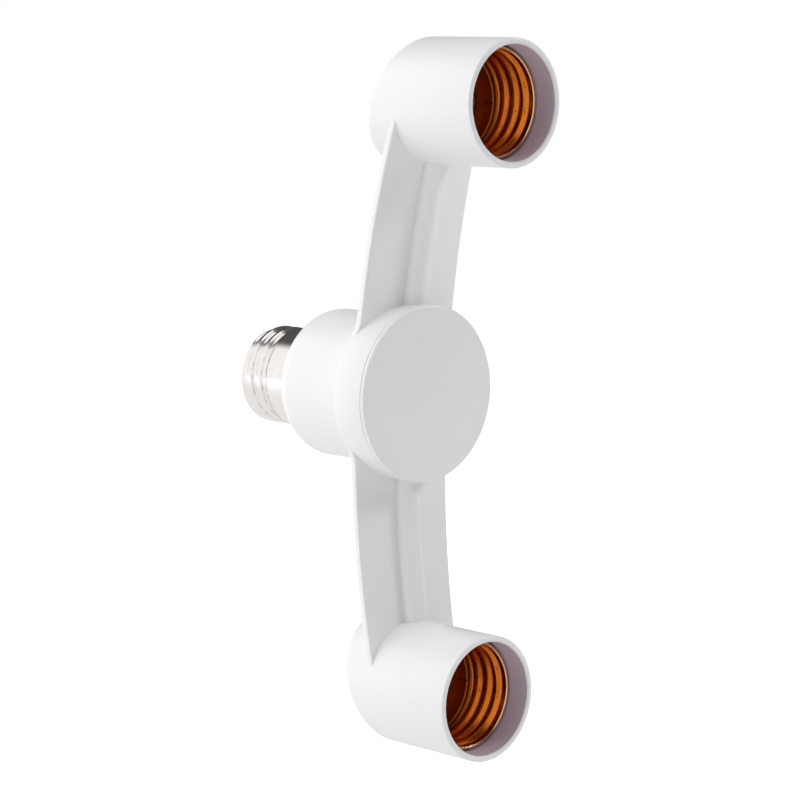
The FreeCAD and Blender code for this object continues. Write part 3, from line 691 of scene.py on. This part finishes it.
class ADAPTER_OT_housing(bpy.types.Operator):
    """Moulds the hollow housing: hub, bowed back plate with its ducts, and the two cups."""

    bl_idname = "adapter.housing"
    bl_label = "Housing"

    def execute(self, context):
        mats = materials()
        both = SIDES.values()
        obj = piece("moulded_housing", hub_form(), mats["white plastic"], node="housing")
        combined(obj, [plate_form(), duct_form()] + [cup_form(side) for side in both], "UNION")
        makers = (cup_hollow, cup_chamber, wire_channel, cover_rebate)
        combined(obj, [hub_hollow()] + [make(side) for make in makers for side in both], "DIFFERENCE")
        screw_x = 6.5 * MM
        combined(obj, [screw_post(side, x) for side in both for x in (-screw_x, screw_x)], "UNION")
        smooth(obj.data, sharp=28)
        obj.data.materials.clear()
        obj.data.materials.append(mats["white plastic"])
        # The second material is the bores' darker plastic, painted shade.
        obj.data.materials.append(mats["shaded bore"])
        shade_bores(obj.data)
        return {"FINISHED"}


class ADAPTER_OT_disc(bpy.types.Operator):
    """Turns the front disc with its rounded edge, and the skirt that is pushed into the drum."""

    bl_idname = "adapter.disc"
    bl_label = "Front disc"

    def execute(self, context):
        m, p = context.scene.adapter_moulding, plan()
        edge = p.seam - SEAM_GAP
        inside, skirt_end = edge + 0.6 * MM, edge + 3.5 * MM
        outer = m.drum_r - WALL - FIT
        inner = outer - 1.3 * MM
        points = [(0, p.disc_face), (m.disc_r, p.disc_face), (m.disc_r, edge), (outer, edge)]
        points += [(outer, skirt_end), (inner, skirt_end), (inner, inside), (0, inside)]
        front_edge = (1, 0.75 * MM, 6)
        bm = lathed(points, [front_edge], steps=160)
        piece("front_disc", bm, materials()["white plastic"], node="hub_cap")
        return {"FINISHED"}


# Threaded shells and contacts


class Thread(NamedTuple):
    """A rolled thread. A level is 0 at the thread's root and 1 at its crest."""

    root: float  # radius inside the sheet
    start: float  # along Y
    end: float
    first: float  # level before the start
    last: float  # level behind the end
    turn: float  # angle about Y
    fades: tuple  # lengths of the run-outs at start and end


def eased(t):
    """A smooth step from 0 to 1."""
    t = min(max(t, 0.0), 1.0)
    return t * t * (3 - 2 * t)


def thread_level(height, angle, thread, pitch):
    """How far the thread stands out at a place, from 0 at its root to 1 at its crest."""
    lead = 0.3 * MM
    rise = eased((height - thread.start - lead) / thread.fades[0])
    fall = eased((thread.end - height - lead) / thread.fades[1])
    wave = (1 + math.cos(2 * math.pi * (height / pitch) - angle)) / 2
    return thread.first * (1 - rise) + thread.last * (1 - fall) + wave * (rise + fall - 1)


def rolled_shell(points, threaded, thread):
    """A sheet-metal shell about Y, whose outline's edges with the numbers in threaded get the thread."""
    s = bpy.context.scene.adapter_shells
    rows_per_turn = 20
    bm = bmesh.new()
    edges = outline(bm, points)
    rows = int((thread.end - thread.start) / s.pitch * rows_per_turn)
    for i in threaded:
        bmesh.ops.subdivide_edges(bm, edges=[edges[i]], cuts=rows)
    turned(bm, steps=160)
    for v in bm.verts:
        if thread.start < v.co.y < thread.end:
            flat = Vector((v.co.x, 0, v.co.z))
            base = thread.root if flat.length < thread.root + s.sheet / 2 else thread.root + s.sheet
            angle = math.atan2(-v.co.z, v.co.x) + thread.turn
            level = thread_level(v.co.y, angle, thread, s.pitch)
            v.co += flat.normalized() * (base + s.depth * level - flat.length)
    bmesh.ops.recalc_face_normals(bm, faces=bm.faces)
    return bm


class ADAPTER_OT_screw_cap(bpy.types.Operator):
    """Rolls the screw cap's shell with its collar, thread and lip."""

    bl_idname = "adapter.screw_cap"
    bl_label = "Screw cap"

    def execute(self, context):
        s = context.scene.adapter_shells
        t, root, hole_r = s.sheet, s.cap_r - s.depth, 10.4 * MM
        start, end, length = 9.6 * MM, 20.85 * MM, 21.3 * MM
        points = [(s.cap_r - t, 0), (s.cap_r, 0), (s.cap_r, start), (root, end), (root, length - t)]
        points += [(root - t, length), (hole_r, length), (hole_r, length - t), (root - t, length - t)]
        points += [(root - t, end), (s.cap_r - t, start)]
        fades = (1.5 * MM, 0.6 * MM)
        thread = Thread(root - t, start, end, first=1, last=0, turn=math.radians(56), fades=fades)
        bm = rolled_shell(points, (2, 9), thread)
        piece("rolled_screw_shell", bm, materials()["nickel plate"], node="screw_shell")
        return {"FINISHED"}


class ADAPTER_OT_socket_shells(bpy.types.Operator):
    """Rolls the two socket shells with their lips, threads and floors."""

    bl_idname = "adapter.socket_shells"
    bl_label = "Socket shells"

    def execute(self, context):
        s, m, p, mats = context.scene.adapter_shells, context.scene.adapter_moulding, plan(), materials()
        t, flare, rear = s.sheet, 0.2 * MM, p.base_front
        lip, mouth, band = p.mouth, p.mouth + flare, p.mouth + 1.5 * MM
        floor_r, mouth_r, hole_r = 12.45 * MM, 13.45 * MM, 9.6 * MM
        floor = rear - t
        low = floor - 3.0 * MM
        # From here to the floor the shell gets the darker copper, painted shade deep in the socket.
        dark = low - 1.2 * MM
        points = [(mouth_r + flare, lip), (mouth_r, mouth), (mouth_r, band), (floor_r, low)]
        points += [(floor_r, floor), (hole_r, floor), (hole_r, rear), (floor_r + t, rear)]
        points += [(floor_r + t, low), (mouth_r + t, band), (mouth_r + t, mouth), (mouth_r + flare + t, lip)]
        first, last = (mouth_r - s.lamp_r) / s.depth, (floor_r - s.lamp_r) / s.depth
        thread = Thread(s.lamp_r, band, low, first, last, turn=math.radians(46), fades=(1.2 * MM, 1.5 * MM))
        for place, side in SIDES.items():
            bm = moved(rolled_shell(points, (2, 8), thread), (0, 0, side * m.cup_z))
            node = f"socket_shell_{place}"
            shell = piece(f"rolled_{node}", bm, mats["copper plate"], node)
            # The second material is darker copper, painted shade deep in the socket.
            shell.data.materials.append(mats["copper floor"])
            # The third material is lighter copper, a painted highlight on the lip.
            shell.data.materials.append(mats["copper edge"])
            # Faces in front of the mouth get the lip's lighter copper, a painted highlight; faces deeper
            # than dark get the darker copper, painted shade; the rest plain copper.
            for face in shell.data.polygons:
                face.material_index = 2 if face.center.y < mouth else int(face.center.y > dark)
        return {"FINISHED"}


class ADAPTER_OT_contacts(bpy.types.Operator):
    """Bends the two contact leaves, which flatten under a lamp."""

    bl_idname = "adapter.contacts"
    bl_label = "Contacts"

    def execute(self, context):
        base, centre = plan().base_front, context.scene.adapter_moulding.cup_z
        sheet, width, bend_r, tip_r = 0.4 * MM, 5.0 * MM, 0.7 * MM, 1.8 * MM
        tip, rise, ramp, foot = 2.3 * MM, 3.0 * MM, 2.6 * MM, 4.2 * MM
        line = [(-tip - ramp - foot, 0), (-tip - ramp, 0), (-tip, rise), (tip, rise)]
        for place, side in SIDES.items():
            bm = bmesh.new()
            verts = [bm.verts.new((-width / 2, base - sheet - up, side * (centre + u))) for u, up in line]
            edges = [bm.edges.new(pair) for pair in zip(verts, verts[1:])]
            widened = bmesh.ops.extrude_edge_only(bm, edges=edges)["geom"]
            far = [v for v in widened if isinstance(v, bmesh.types.BMVert)]
            bmesh.ops.translate(bm, verts=far, vec=(width, 0, 0))
            rounded(bm, [e for e in bm.edges if not e.is_boundary], bend_r, 4)
            corners = [v for v in bm.verts if side * v.co.z > centre + tip / 2 and len(v.link_edges) == 2]
            rounded(bm, corners, tip_r, 6, affect="VERTICES")
            bmesh.ops.recalc_face_normals(bm, faces=bm.faces)
            if bm.faces[0].normal.y > 0:
                bmesh.ops.reverse_faces(bm, faces=bm.faces)
            bmesh.ops.solidify(bm, geom=bm.faces[:], thickness=sheet)
            leaf = piece(f"bent_leaf_{place}", bm, materials()["brass"], node=f"contact_leaf_{place}")
            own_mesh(leaf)
        return {"FINISHED"}


class ADAPTER_OT_finishes(bpy.types.Operator):
    """Gives every other part its finish."""

    bl_idname = "adapter.finishes"
    bl_label = "Finishes"

    def execute(self, context):
        mats = materials()
        chosen = {
            "duct_cover": "white plastic",
            "base_insulator": "black plastic",
            "tip_contact": "brass",
            "socket_base": "brown base",
            "base_screws": "zinc steel",
            "shell_rivets": "brass",
            "contact_rivet": "brass",
            "contact_leaf": "brass",
            "contact_button": "silver contact",
            "live_splice": "splice sleeve",
            "neutral_splice": "splice sleeve",
            "neutral_solder": "solder",
            "live_": "brown wire",
            "neutral_": "blue wire",
            "housing": "white plastic",
            "hub_cap": "white plastic",
            "screw_shell": "nickel plate",
            "socket_shell": "copper plate",
        }
        for name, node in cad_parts.items():
            key = next(start for start in chosen if name.startswith(start))
            node.data.materials.clear()
            node.data.materials.append(mats[chosen[key]])
        return {"FINISHED"}


# Studio


def floor_paper():
    """Pale paper that the camera sees nearly white, and that glows far off in what metal mirrors."""
    material = bpy.data.materials.new("floor paper")
    material.use_nodes = True
    tree = material.node_tree
    shader = tree.nodes["Principled BSDF"]
    shader.inputs["Base Color"].default_value = (0.93, 0.93, 0.93, 1)
    shader.inputs["Roughness"].default_value = 0.9
    shader.inputs["Emission Color"].default_value = (1, 1, 1, 1)
    seen_glow, far_glow, near, far = 0.74, 0.45, 0.3, 1.2
    rays = add(tree, "ShaderNodeLightPath").outputs
    lift = maths(tree, "MULTIPLY", rays["Is Camera Ray"], seen_glow)
    where = add(tree, "ShaderNodeTexCoord").outputs["Object"]
    away = add(tree, "ShaderNodeVectorMath", {0: where}, operation="LENGTH").outputs["Value"]
    mirrored = spread(tree, away, (near, far), (0.0, far_glow))
    glow = maths(tree, "MULTIPLY_ADD", rays["Is Glossy Ray"], mirrored, lift)
    tree.links.new(glow, shader.inputs["Emission Strength"])
    return material


def surroundings():
    """A white room for the camera, and a white wall with a dark upper right side for what metal mirrors."""
    world = bpy.data.worlds.new("white surroundings")
    world.use_nodes = True
    tree = world.node_tree
    back = tree.nodes["Background"]
    back.inputs["Color"].default_value = (1, 1, 1, 1)
    rays = add(tree, "ShaderNodeLightPath").outputs
    where = add(tree, "ShaderNodeTexCoord").outputs["Generated"]
    heading = add(tree, "ShaderNodeSeparateXYZ", {0: where}).outputs
    white_until, dark_from, sky, mirrored_sky = 0.38, 0.62, 0.42, 0.08
    upper_right = maths(tree, "ADD", heading["X"], heading["Z"])
    wall = spread(tree, upper_right, (white_until, dark_from), (1.0, 0.0))
    mirrored = maths(tree, "MULTIPLY", rays["Is Glossy Ray"], wall)
    seen = maths(tree, "MAXIMUM", rays["Is Camera Ray"], mirrored)
    seen = maths(tree, "MAXIMUM", seen, rays["Is Transmission Ray"])
    dim = spread(tree, rays["Is Glossy Ray"], (0.0, 1.0), (sky, mirrored_sky))
    tree.links.new(maths(tree, "MAXIMUM", seen, dim), back.inputs["Strength"])
    return world


def softbox(name, place, size, power):
    """A soft lamp that points at the hub."""
    data = bpy.data.lights.new(name, "AREA")
    data.shape = "RECTANGLE"
    data.size, data.size_y = size
    data.energy = power
    lamp = bpy.data.objects.new(name, data)
    bpy.context.scene.collection.objects.link(lamp)
    lamp.location = place
    lamp.rotation_euler = (-Vector(place)).to_track_quat("-Z", "Y").to_euler()
    return lamp


def studio_camera():
    """The camera, at the place and with the lens that were solved from the object's circles."""
    data = bpy.data.cameras.new("camera")
    data.lens = 129.22
    data.sensor_width = 36.0
    data.clip_start = 0.01
    camera = bpy.data.objects.new("camera", data)
    bpy.context.scene.collection.objects.link(camera)
    right = Vector((0.72173, -0.69088, 0.04216))
    down = Vector((-0.03533, -0.0976, -0.9946))
    ahead = Vector((0.69127, 0.71635, -0.09485))
    turn = Matrix((right, -down, -ahead)).transposed().to_4x4()
    camera.matrix_world = Matrix.Translation((-0.51844, -0.56571, 0.06856)) @ turn
    return camera


class ADAPTER_OT_studio(bpy.types.Operator):
    """Sets up the pale floor, the white surroundings, the soft lamps and the camera."""

    bl_idname = "adapter.studio"
    bl_label = "Studio"

    def execute(self, context):
        scene = context.scene
        scene.view_settings.view_transform = "Standard"
        half_size, height = 1.8, -0.16
        bm = bmesh.new()
        bmesh.ops.create_grid(bm, x_segments=1, y_segments=1, size=half_size)
        floor = form(bm, "floor")
        floor.location.z = height
        floor.data.materials.append(floor_paper())
        scene.world = surroundings()
        softbox("left softbox", (-0.85, 0.70, 0.52), (2.0, 1.5), 14.9).visible_glossy = False
        softbox("top softbox", (0.0, -0.1, 1.2), (0.7, 0.7), 1.6)
        softbox("right softbox", (0.82, -0.62, 0.7), (0.3, 0.3), 4.3)
        scene.camera = studio_camera()
        return {"FINISHED"}


STEPS = ["housing", "disc", "screw_cap", "socket_shells", "contacts", "finishes", "studio"]


class ADAPTER_PT_panel(bpy.types.Panel):
    """Lists the operators and the sizes."""

    bl_label = "Lamp socket adapter"
    bl_idname = "ADAPTER_PT_panel"
    bl_space_type = "VIEW_3D"
    bl_region_type = "UI"
    bl_category = "Adapter"

    def draw(self, context):
        for step in STEPS:
            self.layout.operator(f"adapter.{step}")
        for values in (context.scene.adapter_moulding, context.scene.adapter_shells):
            box = self.layout.box()
            for key in values.__annotations__:
                box.prop(values, key)


CLASSES = [
    MouldingSizes,
    ShellSizes,
    ADAPTER_OT_housing,
    ADAPTER_OT_disc,
    ADAPTER_OT_screw_cap,
    ADAPTER_OT_socket_shells,
    ADAPTER_OT_contacts,
    ADAPTER_OT_finishes,
    ADAPTER_OT_studio,
    ADAPTER_PT_panel,
]


def register():
    for cls in CLASSES:
        bpy.utils.register_class(cls)
    bpy.types.Scene.adapter_moulding = bpy.props.PointerProperty(type=MouldingSizes)
    bpy.types.Scene.adapter_shells = bpy.props.PointerProperty(type=ShellSizes)


def unregister():
    del bpy.types.Scene.adapter_moulding
    del bpy.types.Scene.adapter_shells
    for cls in reversed(CLASSES):
        bpy.utils.unregister_class(cls)


def main():
    register()
    for step in STEPS:
        getattr(bpy.ops.adapter, step)()


if __name__ == "__main__":
    main()
